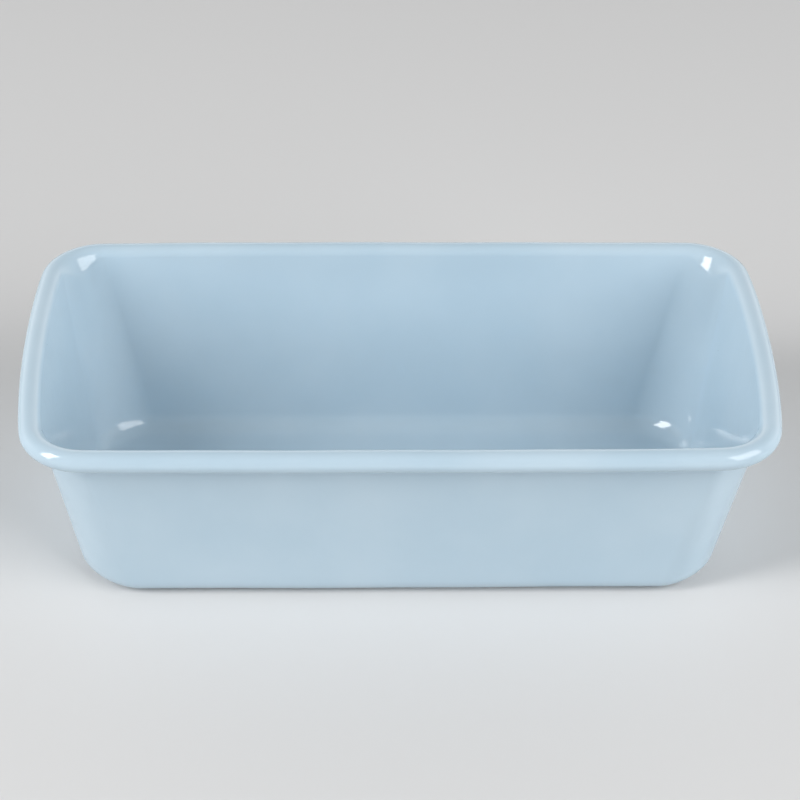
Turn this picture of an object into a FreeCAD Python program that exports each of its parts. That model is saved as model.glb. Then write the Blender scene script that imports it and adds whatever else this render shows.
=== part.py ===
"""Enamelled loaf pan: a drawn steel body with a rolled rim, under two fired coats of enamel.

Frame: millimetres, +Z up, origin at the centre of the base, X along the pan, Y across it.
The steel is one sheet: floor, walls and a hollow bead curled outwards and down at the edge.
Each coat of enamel is two shells, one inside and one outside, that meet under the bead.
"""

import FreeCAD
import Part
import math
import os

# Driving dimensions
LENGTH = 266.0  # over the bead
WIDTH = 137.0  # over the bead
HEIGHT = 74.5  # base to the bead's crest
BEAD_RADIUS = 3.9  # outside of the rolled rim, enamel included
STEEL = 0.6  # sheet thickness
GROUND_COAT = 0.14  # thickness of the first coat of enamel
COVER_COAT = 0.2  # thickness of the coloured coat

# Plan of the rim, on the bead's centreline
RIM_CORNER = 19.2
RIM_SIDE_BOW = 7340.0  # radius of the long sides, which are almost straight
RIM_END_BOW = 490.0  # radius of the short ends, which bulge a little

# Plan of the base, where the outer walls would meet the base plane if its edge were sharp
BASE_LENGTH = 226.4
BASE_WIDTH = 100.6
BASE_CORNER = 22.1
BASE_SIDE_BOW = 200000.0
BASE_END_BOW = 594.0
BASE_FILLET = 8.7  # outer radius where the floor turns up into the walls

# Details of the rolled rim
BEAD_DRAFT = math.radians(10.0)  # lean of the wall where it enters the bead
WALL_UNDER_BEAD = 1.5  # straight wall below the bead that is made with it
CURL_GAP = 0.2  # between the sheet's cut edge and the wall, filled with enamel
NOTCH_FILLET = 0.6  # enamel's fillet in the notch between bead and wall

# Values worked out from the above
ENAMEL = GROUND_COAT + COVER_COAT
BEAD_HEIGHT = HEIGHT - BEAD_RADIUS
JOIN_HEIGHT = BEAD_HEIGHT - BEAD_RADIUS - WALL_UNDER_BEAD
JOIN_DROP = BEAD_HEIGHT - JOIN_HEIGHT
INWARD = math.pi - BEAD_DRAFT  # direction from the bead's centre square to the wall
COATS_JOIN = -math.pi / 2  # direction to the bead's lowest line, where inside and outside coats meet

# Depths of the surfaces below the outermost one, through the wall's thickness
OUTSIDE = 0.0
OUTER_COATS_MEET = COVER_COAT
STEEL_OUTSIDE = ENAMEL
STEEL_INSIDE = ENAMEL + STEEL
INNER_COATS_MEET = ENAMEL + STEEL + GROUND_COAT
INSIDE = 2 * ENAMEL + STEEL

# Radii of the bead's round surfaces, from its centre
BEAD_COATS_MEET = BEAD_RADIUS - COVER_COAT
CURL_OUTSIDE = BEAD_RADIUS - ENAMEL
CURL_INSIDE = CURL_OUTSIDE - STEEL


class Plan:
    """A rounded rectangle of eight tangent arcs: two long sides, two ends and four corners."""

    def __init__(self, half_length, half_width, corner, side_bow, end_bow):
        self.half_length = half_length
        self.half_width = half_width
        self.corner = corner
        self.side_bow = side_bow
        self.end_bow = end_bow

    def inset(self, distance):
        """The same plan, moved inwards by a distance square to its outline."""
        return Plan(
            self.half_length - distance,
            self.half_width - distance,
            self.corner - distance,
            self.side_bow - distance,
            self.end_bow - distance,
        )

    def corner_centre(self):
        """Centre of the first quadrant's corner arc, which touches a side arc and an end arc."""
        side_y = self.half_width - self.side_bow
        end_x = self.half_length - self.end_bow
        apart = math.hypot(end_x, side_y)
        to_side = self.side_bow - self.corner
        to_end = self.end_bow - self.corner
        along = (to_side**2 - to_end**2 + apart**2) / (2 * apart)
        across = math.sqrt(to_side**2 - along**2)
        unit_x, unit_y = end_x / apart, -side_y / apart
        return along * unit_x + across * unit_y, side_y + along * unit_y - across * unit_x

    def arcs(self):
        """(centre x, centre y, radius, start angle, end angle) of each arc, anticlockwise."""
        x, y = self.corner_centre()
        end_x = self.half_length - self.end_bow
        side_y = self.half_width - self.side_bow
        end_turn = math.atan2(y, x - end_x)
        side_turn = math.atan2(y - side_y, x)
        half, full = math.pi, 2 * math.pi
        return [
            (end_x, 0, self.end_bow, -end_turn, end_turn),
            (x, y, self.corner, end_turn, side_turn),
            (0, side_y, self.side_bow, side_turn, half - side_turn),
            (-x, y, self.corner, half - side_turn, half - end_turn),
            (-end_x, 0, self.end_bow, half - end_turn, half + end_turn),
            (-x, -y, self.corner, half + end_turn, half + side_turn),
            (0, -side_y, self.side_bow, half + side_turn, full - side_turn),
            (x, -y, self.corner, full - side_turn, full - end_turn),
        ]

    def wire(self, height):
        edges = []
        for x, y, radius, start, end in self.arcs():
            circle = Part.Circle(FreeCAD.Vector(x, y, height), FreeCAD.Vector(0, 0, 1), radius)
            edges.append(Part.ArcOfCircle(circle, start, end).toShape())
        return Part.Wire(edges)


RIM = Plan(
    LENGTH / 2 - BEAD_RADIUS,
    WIDTH / 2 - BEAD_RADIUS,
    RIM_CORNER,
    RIM_SIDE_BOW,
    RIM_END_BOW,
)
BASE = Plan(BASE_LENGTH / 2, BASE_WIDTH / 2, BASE_CORNER, BASE_SIDE_BOW, BASE_END_BOW)


def polar(radius, angle):
    """A point of the bead's section, from the bead's centre: (outwards, up)."""
    return radius * math.cos(angle), radius * math.sin(angle)


def wall_foot(distance):
    """Where a wall surface, this far from the bead's centre, crosses the joining plane."""
    outwards = -distance / math.cos(BEAD_DRAFT) - JOIN_DROP * math.tan(BEAD_DRAFT)
    return outwards, -JOIN_DROP


def lower_fill(depth):
    """The pan below the joining plane, filled in, out to the surface at this depth."""
    inset = depth / math.cos(BEAD_DRAFT)
    at_join = RIM.inset(-wall_foot(CURL_INSIDE - ENAMEL)[0] + inset)
    at_base = BASE.inset(inset - depth * math.tan(BEAD_DRAFT))
    solid = Part.makeLoft([at_base.wire(depth), at_join.wire(JOIN_HEIGHT)], True, True)
    edges = [e for e in solid.Edges if all(abs(v.Z - depth) < 1e-6 for v in e.Vertexes)]
    return solid.makeFillet(BASE_FILLET - depth, edges)


def lower_shell(outer_depth, inner_depth):
    """The floor and walls between two depths."""
    return lower_fill(outer_depth).cut(lower_fill(inner_depth))


class Section:
    """A closed outline in the bead's section, drawn as one run of lines and arcs."""

    def __init__(self, start):
        self.first = start
        self.here = start
        self.runs = []

    def line(self, point):
        self.runs.append(("line", self.here, None, point))
        self.here = point
        return self

    def arc(self, centre, radius, start, end):
        """An arc about centre, from the outline's last point at angle start to angle end."""
        middle = (start + end) / 2
        through = (
            centre[0] + radius * math.cos(middle),
            centre[1] + radius * math.sin(middle),
        )
        point = centre[0] + radius * math.cos(end), centre[1] + radius * math.sin(end)
        self.runs.append(("arc", self.here, through, point))
        self.here = point
        return self

    def face_at(self, path_arc):
        """The outline as a face, standing across the start of one of the rim's arcs."""
        centre_x, centre_y, radius, angle, _ = path_arc

        def place(point):
            reach = radius + point[0]
            return FreeCAD.Vector(
                centre_x + reach * math.cos(angle),
                centre_y + reach * math.sin(angle),
                BEAD_HEIGHT + point[1],
            )

        edges = []
        for kind, start, through, end in self.runs + [("line", self.here, None, self.first)]:
            if kind == "arc":
                edges.append(Part.Arc(place(start), place(through), place(end)).toShape())
            else:
                edges.append(Part.makeLine(place(start), place(end)))
        return Part.Face(Part.Wire(edges))

    def swept(self):
        """The outline carried round the rim, as one solid for each arc of the rim's plan."""
        solids = []
        for path_arc in RIM.arcs():
            centre_x, centre_y, _, start, end = path_arc
            turn = math.degrees(end - start)
            axis_foot = FreeCAD.Vector(centre_x, centre_y, 0)
            solids.append(self.face_at(path_arc).revolve(axis_foot, FreeCAD.Vector(0, 0, 1), turn))
        return solids


def curl_end_angle():
    """Angle of the sheet's cut edge, where its outer corner is CURL_GAP from the wall."""
    return INWARD + math.acos((CURL_INSIDE - CURL_GAP) / CURL_OUTSIDE) - 2 * math.pi


def steel_section():
    """The wall's sheet, rolled outwards and down until its cut edge comes back to the wall."""
    end = curl_end_angle()
    section = Section(wall_foot(CURL_OUTSIDE))
    section.line(polar(CURL_OUTSIDE, INWARD))
    section.arc((0, 0), CURL_OUTSIDE, INWARD, end)
    section.line(polar(CURL_INSIDE, end))
    section.arc((0, 0), CURL_INSIDE, end, INWARD)
    section.line(wall_foot(CURL_INSIDE))
    return section


def inside_section(outer_radius, inner_radius):
    """A coat on the inside of the wall, over the bead and down to its lowest line."""
    section = Section(wall_foot(outer_radius))
    section.line(polar(outer_radius, INWARD))
    section.arc((0, 0), outer_radius, INWARD, COATS_JOIN)
    section.line(polar(inner_radius, COATS_JOIN))
    section.arc((0, 0), inner_radius, COATS_JOIN, INWARD)
    section.line(wall_foot(inner_radius))
    return section


def notch(bead_radius, wall_distance, fillet):
    """Centre of the notch's fillet, the angle where it leaves the bead, and where it meets the wall."""
    below = math.acos((wall_distance - fillet) / (bead_radius + fillet))
    angle = INWARD + below - 2 * math.pi
    centre = polar(bead_radius + fillet, angle)
    square_out = polar(fillet, INWARD)
    return centre, angle, (centre[0] + square_out[0], centre[1] + square_out[1])


def down_into_notch(section, bead_radius, wall_distance, fillet):
    """Continues an outline from where the coats meet, through the notch, to the wall's foot."""
    centre, angle, _ = notch(bead_radius, wall_distance, fillet)
    section.arc((0, 0), bead_radius, COATS_JOIN, angle)
    section.arc(centre, fillet, angle + math.pi, INWARD)
    section.line(wall_foot(wall_distance))
    return section


def up_out_of_notch(section, bead_radius, wall_distance, fillet):
    """Continues an outline from the wall's foot, up through the notch, to where the coats meet."""
    centre, angle, on_wall = notch(bead_radius, wall_distance, fillet)
    section.line(on_wall)
    section.arc(centre, fillet, INWARD, angle + math.pi)
    section.arc((0, 0), bead_radius, angle, COATS_JOIN)
    return section


def cover_outside_section():
    section = Section(polar(BEAD_RADIUS, COATS_JOIN))
    down_into_notch(section, BEAD_RADIUS, CURL_INSIDE - ENAMEL, NOTCH_FILLET)
    section.line(wall_foot(CURL_INSIDE - GROUND_COAT))
    ground_fillet = NOTCH_FILLET + COVER_COAT
    up_out_of_notch(section, BEAD_COATS_MEET, CURL_INSIDE - GROUND_COAT, ground_fillet)
    return section


def ground_outside_section():
    """The first coat outside, which also bridges the gap between the cut edge and the wall."""
    end = curl_end_angle()
    edge_corner = polar(CURL_OUTSIDE, end)
    to_wall = polar(CURL_GAP, INWARD)
    section = Section(polar(BEAD_COATS_MEET, COATS_JOIN))
    ground_fillet = NOTCH_FILLET + COVER_COAT
    down_into_notch(section, BEAD_COATS_MEET, CURL_INSIDE - GROUND_COAT, ground_fillet)
    section.line(wall_foot(CURL_INSIDE))
    section.line((edge_corner[0] + to_wall[0], edge_corner[1] + to_wall[1]))
    section.line(edge_corner)
    section.arc((0, 0), CURL_OUTSIDE, end, COATS_JOIN)
    return section


def whole_piece(section, outer_depth, inner_depth):
    """The bead's part of a piece and its floor and walls, as one solid."""
    piece = lower_shell(outer_depth, inner_depth).multiFuse(section.swept())
    return piece.removeSplitter()


PIECES = {
    "steel_body": lambda: whole_piece(steel_section(), STEEL_OUTSIDE, STEEL_INSIDE),
    "ground_enamel_inside": lambda: whole_piece(
        inside_section(BEAD_COATS_MEET, CURL_OUTSIDE), STEEL_INSIDE, INNER_COATS_MEET
    ),
    "ground_enamel_outside": lambda: whole_piece(
        ground_outside_section(), OUTER_COATS_MEET, STEEL_OUTSIDE
    ),
    "cover_enamel_inside": lambda: whole_piece(
        inside_section(BEAD_RADIUS, BEAD_COATS_MEET), INNER_COATS_MEET, INSIDE
    ),
    "cover_enamel_outside": lambda: whole_piece(
        cover_outside_section(), OUTSIDE, OUTER_COATS_MEET
    ),
}


def main():
    os.makedirs("parts", exist_ok=True)
    for name, build in PIECES.items():
        shape = build()
        shape.exportStep(f"parts/{name}.step")
        box = shape.BoundBox
        print(
            f"{name}: solids {len(shape.Solids)}, valid {shape.isValid()}, "
            f"volume {shape.Volume:.0f} mm3, "
            f"box {box.XLength:.2f} x {box.YLength:.2f} x {box.ZLength:.2f}, low {box.ZMin:.2f}"
        )


main()
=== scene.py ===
"""The looks of an enamelled loaf pan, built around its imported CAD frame.

Metres, +Z up, in the CAD's own frame. All five pieces are built as closed shells of their real
thickness: the steel sheet and, inside and outside it, a dark ground coat under a pale-blue cover
coat. Only the cover coat shows. The section is the CAD's, but the curvature of the plan changes
smoothly, the corners are rounder, and the sheet has the slight unevenness of pressed ware.
"""

import math

import bmesh
import bpy
import numpy as np
from mathutils import Matrix, Quaternion, Vector


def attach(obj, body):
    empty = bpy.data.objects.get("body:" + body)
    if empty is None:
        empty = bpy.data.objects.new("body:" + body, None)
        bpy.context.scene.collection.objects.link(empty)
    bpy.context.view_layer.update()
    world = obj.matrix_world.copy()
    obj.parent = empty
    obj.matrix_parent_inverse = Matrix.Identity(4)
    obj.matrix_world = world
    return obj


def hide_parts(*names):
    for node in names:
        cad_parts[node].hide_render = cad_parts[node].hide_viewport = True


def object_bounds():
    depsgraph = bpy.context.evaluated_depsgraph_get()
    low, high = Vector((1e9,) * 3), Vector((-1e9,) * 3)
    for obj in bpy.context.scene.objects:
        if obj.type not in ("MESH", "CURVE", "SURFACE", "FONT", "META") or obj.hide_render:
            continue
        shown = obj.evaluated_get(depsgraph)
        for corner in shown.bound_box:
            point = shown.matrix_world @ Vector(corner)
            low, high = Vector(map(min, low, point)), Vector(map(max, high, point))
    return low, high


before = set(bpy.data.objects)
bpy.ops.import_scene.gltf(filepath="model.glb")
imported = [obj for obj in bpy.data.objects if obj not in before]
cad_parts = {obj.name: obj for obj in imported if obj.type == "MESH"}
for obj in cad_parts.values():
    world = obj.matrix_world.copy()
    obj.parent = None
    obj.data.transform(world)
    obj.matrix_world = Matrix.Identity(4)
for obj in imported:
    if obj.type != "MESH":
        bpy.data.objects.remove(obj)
CAD_LOW, CAD_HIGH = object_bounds()

MM = 0.001

# Sizes that the frame gives
LENGTH = CAD_HIGH.x - CAD_LOW.x
WIDTH = CAD_HIGH.y - CAD_LOW.y
HEIGHT = CAD_HIGH.z

# Thicknesses and radii of the design
BEAD_RADIUS = 3.9 * MM
STEEL = 0.6 * MM
GROUND_COAT = 0.14 * MM
COVER_COAT = 0.20 * MM
ENAMEL = GROUND_COAT + COVER_COAT
WALL = STEEL + 2 * ENAMEL
CURL_GAP = 0.2 * MM  # between the sheet's cut edge and the wall, filled with enamel
CURL_END_MOST = 0.85  # cosine of the least angle from the wall's square to the cut edge
NOTCH_FILLET = 0.6 * MM  # enamel's fillet in the notch between bead and wall
BASE_FILLET = 8.7 * MM
CORNER_FILLET = 10.5 * MM  # the same fillet at the middle of a corner
CORNER_FLARE = 14.0 * MM  # radius that leads the wall into the bead at the middle of a corner
FLARE_REACH = math.radians(50)  # lean of the surface where the flare has become the bead
BEAD_HEIGHT = HEIGHT - BEAD_RADIUS
OUTSIDE_TO_CENTRE = BEAD_RADIUS - WALL  # from the bead's centre square to the wall's outside
DISH = 0.3 * MM  # how far the middle of the floor rises
COATS_JOIN = -math.pi / 2  # direction from the bead's centre to where the two coats meet

# Plan of the rim, on the bead's centreline, and plan of the base, where the walls would meet the
# base plane. The turns are the angles that half an end and half a side bow through.
RIM_CORNER = 18.9 * MM
RIM_END_TURN = math.radians(4.97)
RIM_SIDE_TURN = math.radians(0.65)
BASE_HALF_LENGTH = 113.2 * MM
BASE_HALF_WIDTH = 50.3 * MM
BASE_CORNER = 22.0 * MM
BASE_END_TURN = math.radians(2.0)
BASE_SIDE_TURN = math.radians(0.1)
TURN_SAMPLES = 20001  # steps that the curvature of a quarter plan is summed over

# Unevenness that pressing and firing leave in the sheet
WAVES = 9
WAVE_SEED = 7
SHORTEST_WAVE = 45 * MM
LONGEST_WAVE = 120 * MM
WAVE_PUSH = 0.035 * MM

# Rows of the mesh along its section, and stations of the mesh round a quarter of the pan
QUARTER = 72
FLOOR_ROWS = 12
FILLET_ROWS = 9
WALL_ROWS = 16
FLARE_ROWS = 8
NOTCH_ROWS = 5
BEAD_STEP = math.radians(6)
MERGE = 0.001 * MM  # vertices nearer than this are one

# Looks of the enamel and of the studio's floor
GLASS_IOR = 1.52
FLOOR_HALF = 6.0  # from the floor's middle to its edge
FLOOR_COLOUR = (0.65, 0.65, 0.65, 1)
FLOOR_ROUGHNESS = 0.9

# The surroundings are white behind the pan and fade overhead and towards the front. Each fade has
# the part of the direction, up or backwards, where it begins and ends, and its value at both.
SKY_FADE = (0.2, 0.85, 1.45, 0.0)
BEHIND_FADE = (-0.4, 0.3, 0.05, 1.0)

# The camera, seen from what it is aimed at. Azimuth 0 is in front of the pan, 90 to its right.
AIM = Vector((1.3, 19.1, 35.3)) * MM
CAMERA_AZIMUTH = -1.70
CAMERA_ELEVATION = 36.02
CAMERA_DISTANCE = 1.0368
CAMERA_ROLL = 0.85
LENS = 126.8
SENSOR = 36


def rounded_plan(half_length, half_width, corner, end_turn, side_turn):
    """A quarter of a rounded rectangle whose curvature changes smoothly, from an end to a side.

    end_turn and side_turn are the angles that half an end and half a side turn through. Returns
    points and the directions of their outward normals, at the mesh's stations.
    """
    turn = np.linspace(0, math.pi / 2, TURN_SAMPLES)
    step = turn[1]

    def flat_part(angle, spread):
        fade = np.clip(angle / spread / 2, 0, 1)
        return 1 - fade * fade * (3 - 2 * fade)

    def total(values):
        return (values.sum() - (values[0] + values[-1]) / 2) * step

    end = flat_part(turn, end_turn)
    side = flat_part(math.pi / 2 - turn, side_turn)
    sine, cosine = np.sin(turn), np.cos(turn)
    sums = [
        [total(end * sine), total(side * sine)],
        [total(end * cosine), total(side * cosine)],
    ]
    gains = np.linalg.solve(sums, [half_length - corner, half_width - corner])
    radius = corner + gains[0] * end + gains[1] * side

    def running(values):
        return np.concatenate([[0], np.cumsum((values[1:] + values[:-1]) / 2) * step])

    x = half_length - running(radius * sine)
    y = running(radius * cosine)
    travel = running(radius)
    share = (travel / travel[-1] + turn / turn[-1]) / 2
    stations = np.linspace(0, 1, QUARTER + 1)
    return [np.interp(stations, share, values) for values in (x, y, turn)]


def whole_plan(*shape):
    """The plan all round, from its quarter: points (N, 2) and outward normals (N, 2)."""
    x, y, turn = rounded_plan(*shape)
    order = np.concatenate(
        [
            np.arange(QUARTER),
            np.arange(QUARTER, 0, -1),
            np.arange(QUARTER),
            np.arange(QUARTER, 0, -1),
        ]
    )
    sign_x = np.repeat([1, -1, -1, 1], QUARTER)
    sign_y = np.repeat([1, 1, -1, -1], QUARTER)
    points = np.stack([sign_x * x[order], sign_y * y[order]], axis=1)
    normals = np.stack([sign_x * np.cos(turn[order]), sign_y * np.sin(turn[order])], axis=1)
    return points, normals


RIM, RIM_NORMAL = whole_plan(
    LENGTH / 2 - BEAD_RADIUS,
    WIDTH / 2 - BEAD_RADIUS,
    RIM_CORNER,
    RIM_END_TURN,
    RIM_SIDE_TURN,
)
BASE, BASE_NORMAL = whole_plan(
    BASE_HALF_LENGTH,
    BASE_HALF_WIDTH,
    BASE_CORNER,
    BASE_END_TURN,
    BASE_SIDE_TURN,
)


def cornered(normal, along_sides, in_corners):
    """A value that differs in the corners, all round, from the directions of the normals."""
    share = (2 * normal[:, 0] * normal[:, 1]) ** 2
    return along_sides + share * (in_corners - along_sides)


FILLET = cornered(BASE_NORMAL, BASE_FILLET, CORNER_FILLET)
FLARE = cornered(RIM_NORMAL, BEAD_RADIUS, CORNER_FLARE)


def drafts():
    """The wall's lean at the bead and at the base, and how far the bead's centre is outside it.

    The lean sets where the flare begins, which sets the lean, so it is settled in a few rounds.
    """
    first_guess, rounds = math.radians(10), 8
    top = np.full(len(RIM), first_guess)
    for _ in range(rounds):
        to_centre = OUTSIDE_TO_CENTRE + (FLARE - BEAD_RADIUS) * (1 - np.cos(FLARE_REACH - top))
        reach = to_centre * np.cos(top)
        rise = BEAD_HEIGHT + to_centre * np.sin(top)
        run = RIM - RIM_NORMAL * reach[:, None] - BASE
        top = np.arctan((run * RIM_NORMAL).sum(axis=1) / rise)
    base = np.arctan((run * BASE_NORMAL).sum(axis=1) / rise)
    return top, base, to_centre


TOP_DRAFT, BASE_DRAFT, WALL_TO_CENTRE = drafts()


def at(plan, normal, out, up):
    """Points at a distance out from a plan along its normals, at a height."""
    out = np.broadcast_to(out, len(plan))
    up = np.broadcast_to(up, len(plan))
    return np.column_stack([plan + normal * out[:, None], up])


def around_bead(radius, angle):
    return at(RIM, RIM_NORMAL, radius * np.cos(angle), BEAD_HEIGHT + radius * np.sin(angle))


def fillet_rows(depth):
    """From the floor up to the wall, on the surface this deep inside the outermost one."""
    centre = FILLET * (np.tan(BASE_DRAFT) - 1 / np.cos(BASE_DRAFT))
    radius = FILLET - depth
    rows = []
    for share in np.linspace(0, 1, FILLET_ROWS):
        angle = -math.pi / 2 + share * (math.pi / 2 - BASE_DRAFT)
        out = centre + radius * np.cos(angle)
        up = FILLET + radius * np.sin(angle)
        rows.append(at(BASE, BASE_NORMAL, out, up))
    return rows


def between(start, end, count):
    """Rows evenly spaced between two rows, without those two."""
    return [start + (end - start) * share for share in np.linspace(0, 1, count + 2)[1:-1]]


def floor_rows(edge):
    """From the middle line of the floor out to its edge."""
    overhang = np.abs(edge[:, 1]).max()
    reach = np.abs(edge[:, 0]).max() - overhang
    spine = np.column_stack([np.clip(edge[:, 0], -reach, reach), 0 * edge[:, 1], edge[:, 2]])
    rows = [spine] + between(spine, edge, FLOOR_ROWS)
    for share, row in zip(np.linspace(0, 1, len(rows) + 1), rows):
        row[:, 2] += DISH * (1 - share * share) ** 2
    return rows


def bead_rows(radius, start, end):
    """Round the bead from one direction to another. Either may differ from station to station."""
    count = max(2, round(float(np.max(np.abs(end - start))) / BEAD_STEP))
    return [around_bead(radius, start + (end - start) * i / count) for i in range(count + 1)]


def flare_rows(depth):
    """From the top of the wall's straight part to the bead's inner side."""
    centre_out = (BEAD_RADIUS - FLARE) * -math.cos(FLARE_REACH)
    centre_up = (BEAD_RADIUS - FLARE) * math.sin(FLARE_REACH)
    radius = FLARE - WALL + depth
    rows = []
    for share in np.linspace(0, 1, FLARE_ROWS, endpoint=False):
        lean = TOP_DRAFT + share * (FLARE_REACH - TOP_DRAFT)
        out = centre_out - radius * np.cos(lean)
        up = BEAD_HEIGHT + centre_up + radius * np.sin(lean)
        rows.append(at(RIM, RIM_NORMAL, out, up))
    return rows


def inside_rows(depth, end=COATS_JOIN):
    """Floor, fillet, wall and flare, then over the bead to a direction under it."""
    fillet = fillet_rows(depth)
    flare = flare_rows(depth)
    wall = between(fillet[-1], flare[0], WALL_ROWS)
    bead = bead_rows(OUTSIDE_TO_CENTRE + depth, math.pi - FLARE_REACH, end)
    return floor_rows(fillet[0]) + fillet + wall + flare + bead


def outside_rows(depth):
    """Floor, fillet, wall, notch and bead on the outside of the pan, up to where the coats meet."""
    fillet = fillet_rows(depth)
    to_wall = WALL_TO_CENTRE + depth
    bead_radius = BEAD_RADIUS - depth
    notch_radius = NOTCH_FILLET + depth
    inward = math.pi - TOP_DRAFT
    below = np.arccos((to_wall - notch_radius) / (bead_radius + notch_radius))
    leave = inward + below - 2 * math.pi
    centre_out = (bead_radius + notch_radius) * np.cos(leave)
    centre_up = BEAD_HEIGHT + (bead_radius + notch_radius) * np.sin(leave)
    notch = []
    for share in np.linspace(0, 1, NOTCH_ROWS):
        angle = inward + share * (leave + math.pi - inward)
        out = centre_out + notch_radius * np.cos(angle)
        up = centre_up + notch_radius * np.sin(angle)
        notch.append(at(RIM, RIM_NORMAL, out, up))
    wall = between(fillet[-1], notch[0], WALL_ROWS)
    bead = bead_rows(bead_radius, leave, COATS_JOIN)
    return floor_rows(fillet[0]) + fillet + wall + notch + bead[1:]


def cut_edge():
    """Direction from the bead's centre to the rolled sheet's cut edge, all round."""
    to_wall = WALL_TO_CENTRE + ENAMEL - CURL_GAP
    share = np.minimum(to_wall / (BEAD_RADIUS - ENAMEL), CURL_END_MOST)
    return math.pi - TOP_DRAFT + np.arccos(share) - 2 * math.pi


def under_ground_rows():
    """The steel's outside: floor, fillet, wall, across to the cut edge and round the curl."""
    fillet = fillet_rows(ENAMEL)
    end = cut_edge()
    outside = BEAD_RADIUS - ENAMEL
    gap = WALL_TO_CENTRE + ENAMEL + outside * np.cos(end + TOP_DRAFT)
    out = outside * np.cos(end) - gap * np.cos(TOP_DRAFT)
    up = outside * np.sin(end) + gap * np.sin(TOP_DRAFT)
    beside = at(RIM, RIM_NORMAL, out, BEAD_HEIGHT + up)
    wall = between(fillet[-1], beside, WALL_ROWS)
    return floor_rows(fillet[0]) + fillet + wall + [beside] + bead_rows(outside, end, COATS_JOIN)


def unevenness(points):
    """Slow waves, a tenth of a millimetre or so, that pressing and firing leave in the sheet."""
    random = np.random.default_rng(WAVE_SEED)
    moved = points.copy()
    for _ in range(WAVES):
        wave = random.normal(size=3)
        wave *= 2 * math.pi / random.uniform(SHORTEST_WAVE, LONGEST_WAVE) / np.linalg.norm(wave)
        push = random.normal(size=3) * WAVE_PUSH
        moved += np.sin(points @ wave + random.uniform(0, 2 * math.pi))[:, None] * push
    return moved


def outer_reach():
    """How far the uneven bead reaches in X, Y and Z, as a share of the CAD model's box."""
    bead = unevenness(np.concatenate(bead_rows(BEAD_RADIUS, math.pi, COATS_JOIN)))
    reach = np.array([np.abs(bead[:, 0]).max(), np.abs(bead[:, 1]).max(), bead[:, 2].max()])
    return reach / [LENGTH / 2, WIDTH / 2, HEIGHT]


OUTER_REACH = outer_reach()


def finished(points):
    """Uneven points, scaled by a hair so that they stay in the CAD model's box, on its base."""
    points = unevenness(points) / OUTER_REACH
    points[:, 2] = np.maximum(points[:, 2], 0)
    return points


def placed(name, mesh):
    """A new object in the scene from a bmesh, which is used up."""
    data = bpy.data.meshes.new(name)
    mesh.to_mesh(data)
    mesh.free()
    piece = bpy.data.objects.new(name, data)
    bpy.context.scene.collection.objects.link(piece)
    return piece


def shell(name, showing, hidden):
    """A closed shell between two surfaces, each given as rows from the floor's middle outwards."""
    rows = showing + hidden[::-1]
    stations = len(rows[0])
    points = finished(np.concatenate(rows))
    mesh = bmesh.new()
    vertices = [mesh.verts.new(point) for point in points]
    for row in range(len(rows) - 1):
        for station in range(stations):
            after = (station + 1) % stations
            here, above = row * stations, (row + 1) * stations
            corners = (here + station, here + after, above + after, above + station)
            mesh.faces.new([vertices[i] for i in corners])
    sharp_rows = (len(showing) - 1, len(showing))
    mesh.verts.index_update()
    for edge in mesh.edges:
        start_row, end_row = [vertex.index // stations for vertex in edge.verts]
        if start_row == end_row and start_row in sharp_rows:
            edge.smooth = False
    bmesh.ops.remove_doubles(mesh, verts=mesh.verts, dist=MERGE)
    bmesh.ops.dissolve_degenerate(mesh, edges=mesh.edges, dist=MERGE)
    bmesh.ops.recalc_face_normals(mesh, faces=mesh.faces)
    piece = placed(name, mesh)
    for polygon in piece.data.polygons:
        polygon.use_smooth = True
    return piece


class Nodes:
    """A short way to write a material's nodes."""

    def __init__(self, name):
        self.material = bpy.data.materials.new(name)
        self.material.use_nodes = True
        self.tree = self.material.node_tree
        self.shader = self.tree.nodes["Principled BSDF"]
        self.place = self.add("ShaderNodeTexCoord").outputs["Object"]

    def add(self, kind, **settings):
        node = self.tree.nodes.new(kind)
        for key, value in settings.items():
            setattr(node, key, value)
        return node

    def link(self, start, end):
        self.tree.links.new(start, end)

    def noise(self, scale, detail):
        node = self.add("ShaderNodeTexNoise")
        node.inputs["Scale"].default_value = scale
        node.inputs["Detail"].default_value = detail
        self.link(self.place, node.inputs["Vector"])
        return node.outputs["Fac"]

    def cells(self, scale):
        node = self.add("ShaderNodeTexVoronoi")
        node.inputs["Scale"].default_value = scale
        self.link(self.place, node.inputs["Vector"])
        return node.outputs["Distance"]

    def remap(self, value, low, high, new_low=0, new_high=1):
        node = self.add("ShaderNodeMapRange")
        node.inputs["From Min"].default_value = low
        node.inputs["From Max"].default_value = high
        node.inputs["To Min"].default_value = new_low
        node.inputs["To Max"].default_value = new_high
        self.link(value, node.inputs["Value"])
        return node.outputs["Result"]

    def mix(self, share, first, second):
        node = self.add("ShaderNodeMix", data_type="RGBA")
        factor, colours, result = node.inputs[0], node.inputs[6:8], node.outputs[2]
        for socket, value in zip(colours, (first, second)):
            if isinstance(value, tuple):
                socket.default_value = (*value, 1)
            else:
                self.link(value, socket)
        self.link(share, factor)
        return result

    def bump(self, height, distance, normal=None):
        node = self.add("ShaderNodeBump")
        node.inputs["Distance"].default_value = distance
        node.inputs["Strength"].default_value = 1
        self.link(height, node.inputs["Height"])
        if normal is not None:
            self.link(normal, node.inputs["Normal"])
        return node.outputs["Normal"]

    def set(self, **values):
        for key, value in values.items():
            self.shader.inputs[key.replace("_", " ")].default_value = value


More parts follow.
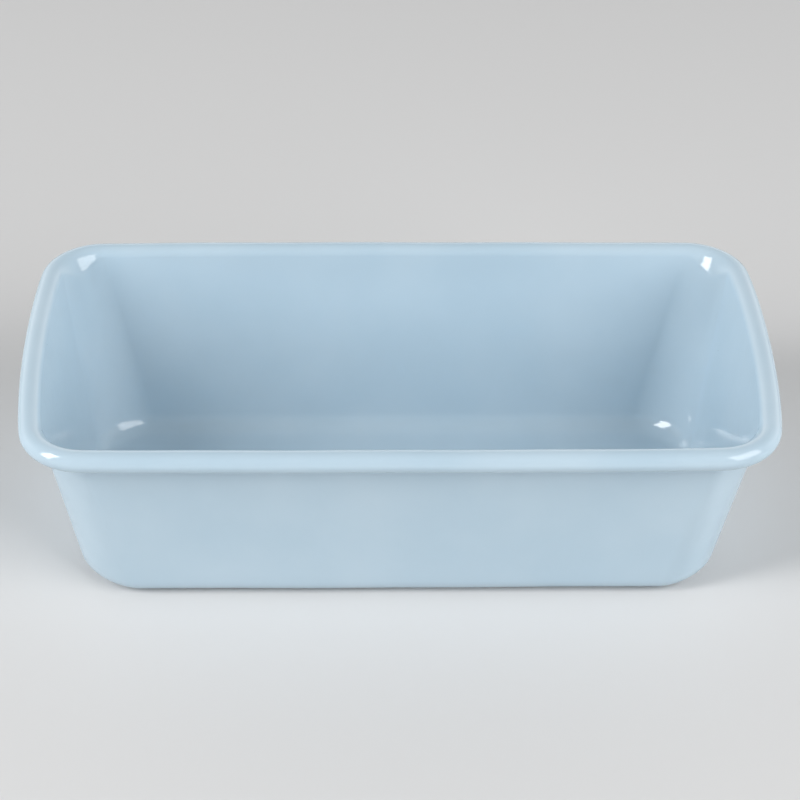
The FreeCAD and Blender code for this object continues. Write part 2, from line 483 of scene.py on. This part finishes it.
def cover_enamel():
    """Pale-blue glass, fired glossy, with a faint orange peel, cloudiness and a few specks."""
    nodes = Nodes("pale_blue_enamel")
    pale, deep, speck_colour = (0.475, 0.600, 0.690), (0.440, 0.570, 0.665), (0.10, 0.13, 0.17)
    cloud = nodes.remap(nodes.noise(scale=22, detail=3), low=0.35, high=0.65)
    colour = nodes.mix(cloud, pale, deep)
    speck = nodes.remap(nodes.cells(scale=55), low=0.008, high=0.014, new_low=0.6, new_high=0)
    colour = nodes.mix(speck, colour, speck_colour)
    nodes.link(colour, nodes.shader.inputs["Base Color"])
    patches = nodes.noise(scale=35, detail=2)
    gloss = nodes.remap(patches, low=0.3, high=0.7, new_low=0.09, new_high=0.11)
    nodes.link(gloss, nodes.shader.inputs["Roughness"])
    peel = nodes.bump(nodes.noise(scale=420, detail=2), distance=0.02 * MM)
    ripple = nodes.bump(nodes.noise(scale=90, detail=1), distance=0.05 * MM, normal=peel)
    nodes.link(ripple, nodes.shader.inputs["Normal"])
    nodes.set(IOR=GLASS_IOR)
    return nodes.material


def ground_enamel():
    """Dark blue-grey first coat, with the fine pores that firing leaves."""
    nodes = Nodes("dark_ground_enamel")
    darker, lighter = (0.020, 0.028, 0.050), (0.035, 0.045, 0.075)
    cloud = nodes.remap(nodes.noise(scale=60, detail=4), low=0.3, high=0.7)
    nodes.link(nodes.mix(cloud, darker, lighter), nodes.shader.inputs["Base Color"])
    gloss = nodes.remap(cloud, low=0, high=1, new_low=0.35, new_high=0.5)
    nodes.link(gloss, nodes.shader.inputs["Roughness"])
    pores = nodes.bump(nodes.noise(scale=1500, detail=3), distance=0.01 * MM)
    nodes.link(pores, nodes.shader.inputs["Normal"])
    nodes.set(IOR=GLASS_IOR)
    return nodes.material


def pickled_steel():
    """Cold-rolled sheet, matt from the acid bath, with faint rolling marks along the pan."""
    nodes = Nodes("pickled_steel")
    darker, lighter = (0.36, 0.36, 0.37), (0.48, 0.48, 0.48)
    drawn_out = (0.03, 1, 1)
    stretch = nodes.add("ShaderNodeMapping")
    stretch.inputs["Scale"].default_value = drawn_out
    nodes.link(nodes.place, stretch.inputs["Vector"])
    nodes.place = stretch.outputs["Vector"]
    streaks = nodes.noise(scale=1800, detail=3)
    nodes.link(nodes.mix(streaks, darker, lighter), nodes.shader.inputs["Base Color"])
    gloss = nodes.remap(streaks, low=0.3, high=0.7, new_low=0.38, new_high=0.52)
    nodes.link(gloss, nodes.shader.inputs["Roughness"])
    nodes.link(nodes.bump(streaks, distance=0.005 * MM), nodes.shader.inputs["Normal"])
    nodes.set(Metallic=1.0)
    return nodes.material


def pieces():
    """Each piece of the pan: its material, record slot, CAD node and two faces."""
    glaze, ground, steel = cover_enamel(), ground_enamel(), pickled_steel()
    sheet_in, end = ENAMEL + STEEL, cut_edge()
    under_cover = WALL - COVER_COAT
    made = (
        ("inside_glaze", glaze, "cover_enamel", inside_rows(WALL), inside_rows(under_cover)),
        ("outside_glaze", glaze, "cover_enamel", outside_rows(0), outside_rows(COVER_COAT)),
        ("inside_primer", ground, "ground_enamel", inside_rows(under_cover), inside_rows(sheet_in)),
        ("outside_primer", ground, "ground_enamel", outside_rows(COVER_COAT), under_ground_rows()),
        ("rolled_sheet", steel, "steel", inside_rows(sheet_in, end), inside_rows(ENAMEL, end)),
    )
    nodes = (
        "cover_enamel_inside",
        "cover_enamel_outside",
        "ground_enamel_inside",
        "ground_enamel_outside",
        "steel_body",
    )
    for (name, material, slot, showing, hidden), node in zip(made, nodes):
        piece = shell(name, showing, hidden)
        piece.data.materials.append(material)
        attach(piece, "root")
        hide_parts(node)


def floor():
    """A plain pale floor, far larger than the view."""
    mesh = bmesh.new()
    bmesh.ops.create_grid(mesh, x_segments=1, y_segments=1, size=FLOOR_HALF)
    piece = placed("studio_floor", mesh)
    nodes = Nodes("white_paper")
    nodes.set(Base_Color=FLOOR_COLOUR, Roughness=FLOOR_ROUGHNESS)
    piece.data.materials.append(nodes.material)


def around(azimuth, elevation, distance):
    """A place seen from the pan. Azimuth 0 is in front of it and 90 is to its right."""
    turn, rise = math.radians(azimuth), math.radians(elevation)
    flat = distance * math.cos(rise)
    return Vector((flat * math.sin(turn), -flat * math.cos(turn), distance * math.sin(rise)))


def soft_light(name, azimuth, elevation, distance, width, height, radiance):
    """A rectangular panel of even radiance that faces the pan."""
    data = bpy.data.lights.new(name, "AREA")
    data.shape = "RECTANGLE"
    data.size = width
    data.size_y = height
    data.energy = math.pi * width * height * radiance
    light = bpy.data.objects.new(name, data)
    bpy.context.scene.collection.objects.link(light)
    light.location = around(azimuth, elevation, distance)
    towards_pan = Vector((0, 0, HEIGHT / 2)) - light.location
    light.rotation_euler = towards_pan.to_track_quat("-Z", "Y").to_euler()


def lights():
    """Two softboxes in front of the pan: a narrow one on the left and a wide one on the right."""
    soft_light(
        "left_softbox",
        azimuth=-65,
        elevation=31,
        distance=2.2,
        width=0.65,
        height=1.7,
        radiance=12.2,
    )
    soft_light(
        "right_softbox",
        azimuth=52,
        elevation=31,
        distance=2.2,
        width=1.7,
        height=1.8,
        radiance=4.8,
    )


def faded(tree, value, limits):
    """A smooth fade of a value in the world's nodes."""
    node = tree.nodes.new("ShaderNodeMapRange")
    node.interpolation_type = "SMOOTHSTEP"
    for name, limit in zip(("From Min", "From Max", "To Min", "To Max"), limits):
        node.inputs[name].default_value = limit
    tree.links.new(value, node.inputs["Value"])
    return node.outputs["Result"]


def surroundings():
    """White surroundings that light the pan softly from behind and from the sides."""
    world = bpy.data.worlds.new("studio")
    bpy.context.scene.world = world
    world.use_nodes = True
    tree = world.node_tree
    direction = tree.nodes.new("ShaderNodeTexCoord").outputs["Generated"]
    split = tree.nodes.new("ShaderNodeSeparateXYZ")
    tree.links.new(direction, split.inputs["Vector"])
    both = tree.nodes.new("ShaderNodeMath")
    both.operation = "MULTIPLY"
    tree.links.new(faded(tree, split.outputs["Z"], SKY_FADE), both.inputs[0])
    tree.links.new(faded(tree, split.outputs["Y"], BEHIND_FADE), both.inputs[1])
    background = tree.nodes["Background"]
    background.inputs["Color"].default_value = (1, 1, 1, 1)
    tree.links.new(both.outputs["Value"], background.inputs["Strength"])


def camera():
    """A long lens in front of the pan and above it, aimed a little behind its middle."""
    data = bpy.data.cameras.new("camera")
    data.sensor_width = SENSOR
    data.lens = LENS
    piece = bpy.data.objects.new("camera", data)
    bpy.context.scene.collection.objects.link(piece)
    back = around(CAMERA_AZIMUTH, CAMERA_ELEVATION, CAMERA_DISTANCE)
    turned = (-back).to_track_quat("-Z", "Y") @ Quaternion((0, 0, 1), math.radians(CAMERA_ROLL))
    piece.matrix_world = Matrix.Translation(AIM + back) @ turned.to_matrix().to_4x4()
    bpy.context.scene.camera = piece


pieces()
floor()
lights()
surroundings()
camera()
bpy.context.scene.view_settings.view_transform = "Standard"
